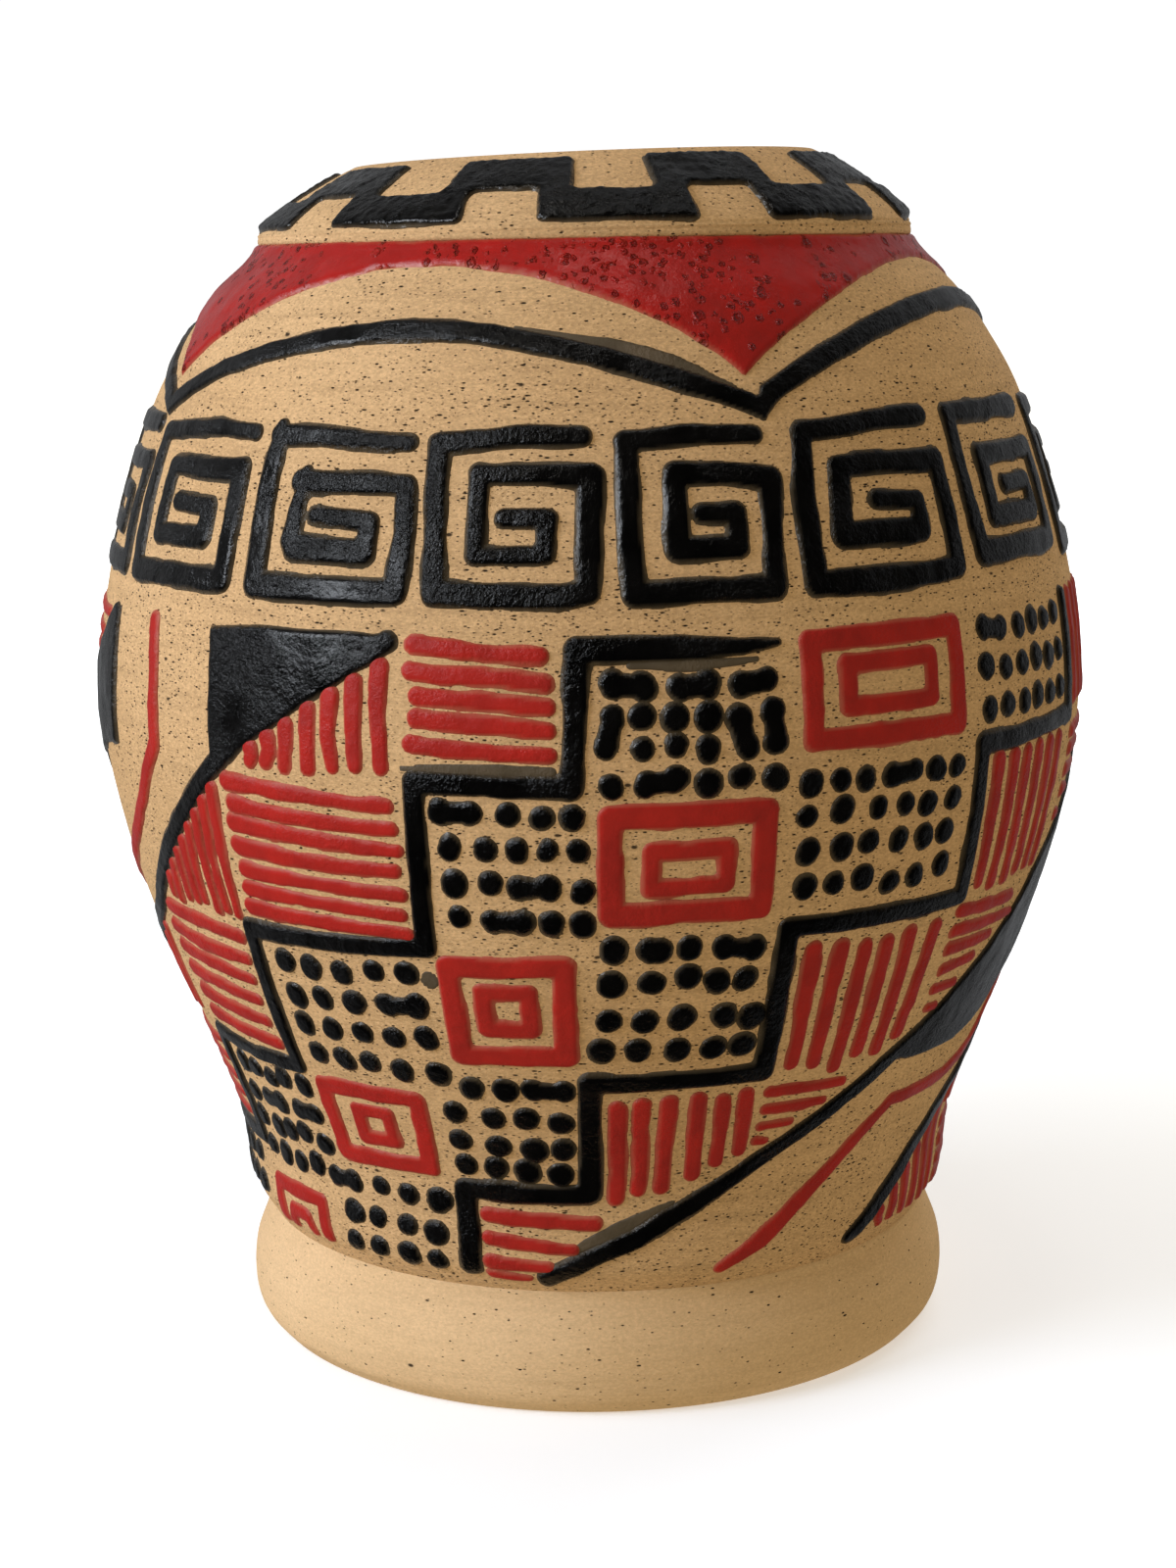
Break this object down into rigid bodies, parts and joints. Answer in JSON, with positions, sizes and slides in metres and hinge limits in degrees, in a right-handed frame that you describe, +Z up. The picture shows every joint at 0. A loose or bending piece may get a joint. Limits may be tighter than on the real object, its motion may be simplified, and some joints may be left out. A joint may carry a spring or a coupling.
{
  "type": "pottery vase",
  "caption": "Squat round-bellied stoneware vase with a foot ring, closed-in collar and raised slip ornament of spirals, steps and battlement.",
  "frame": {"origin": "centre of the foot's underside, on the surface that the vase stands on", "axes": "+Z up along the vase's axis; the front, as pictured, looks along -Y, with +X to its right"},
  "size_m": [0.1664, 0.1662, 0.1955],
  "materials": {
    "wall_clay": "unglazed speckled buff stoneware, matte",
    "foot_clay": "smoother turned buff stoneware, matte",
    "black_slip": "thick raised black slip, semi-gloss",
    "red_slip": "thick raised crimson slip, semi-gloss"
  },
  "bodies": {
    "root": {"back_arch_inner": "red_slip", "back_arch_outer": "red_slip", "back_gap_line": "red_slip", "back_left_border": "black_slip", "back_left_hatching": "red_slip", "back_lower_steps": "black_slip", "back_right_border": "black_slip", "back_right_hatching": "red_slip", "back_square_1_inner": "red_slip", "back_square_1_outer": "red_slip", "back_square_2_inner": "red_slip", "back_square_2_outer": "red_slip", "back_square_3_inner": "red_slip", "back_square_3_outer": "red_slip", "back_square_4_inner": "red_slip", "back_square_4_outer": "red_slip", "back_upper_steps": "black_slip", "belly_wall": "wall_clay", "collar_battlement": "black_slip", "flare_wall": "wall_clay", "floor_disc": "wall_clay", "foot_ring": "foot_clay", "front_arch_inner": "red_slip", "front_arch_outer": "red_slip", "front_gap_line": "red_slip", "front_left_border": "black_slip", "front_left_hatching": "red_slip", "front_lower_steps": "black_slip", "front_right_border": "black_slip", "front_right_hatching": "red_slip", "front_square_1_inner": "red_slip", "front_square_1_outer": "red_slip", "front_square_2_inner": "red_slip", "front_square_2_outer": "red_slip", "front_square_3_inner": "red_slip", "front_square_3_outer": "red_slip", "front_square_4_inner": "red_slip", "front_square_4_outer": "red_slip", "front_upper_steps": "black_slip", "lower_wall": "wall_clay", "neck_collar": "wall_clay", "neck_wall": "wall_clay", "shoulder_red_scallops": "red_slip", "shoulder_scallop_line": "black_slip", "shoulder_wall": "wall_clay", "spiral_01": "black_slip", "spiral_02": "black_slip", "spiral_03": "black_slip", "spiral_04": "black_slip", "spiral_05": "black_slip", "spiral_06": "black_slip", "spiral_07": "black_slip", "spiral_08": "black_slip", "spiral_09": "black_slip", "spiral_10": "black_slip", "spiral_11": "black_slip", "spiral_12": "black_slip", "spiral_13": "black_slip", "spiral_14": "black_slip", "spiral_15": "black_slip"}
  },
  "joints": []
}
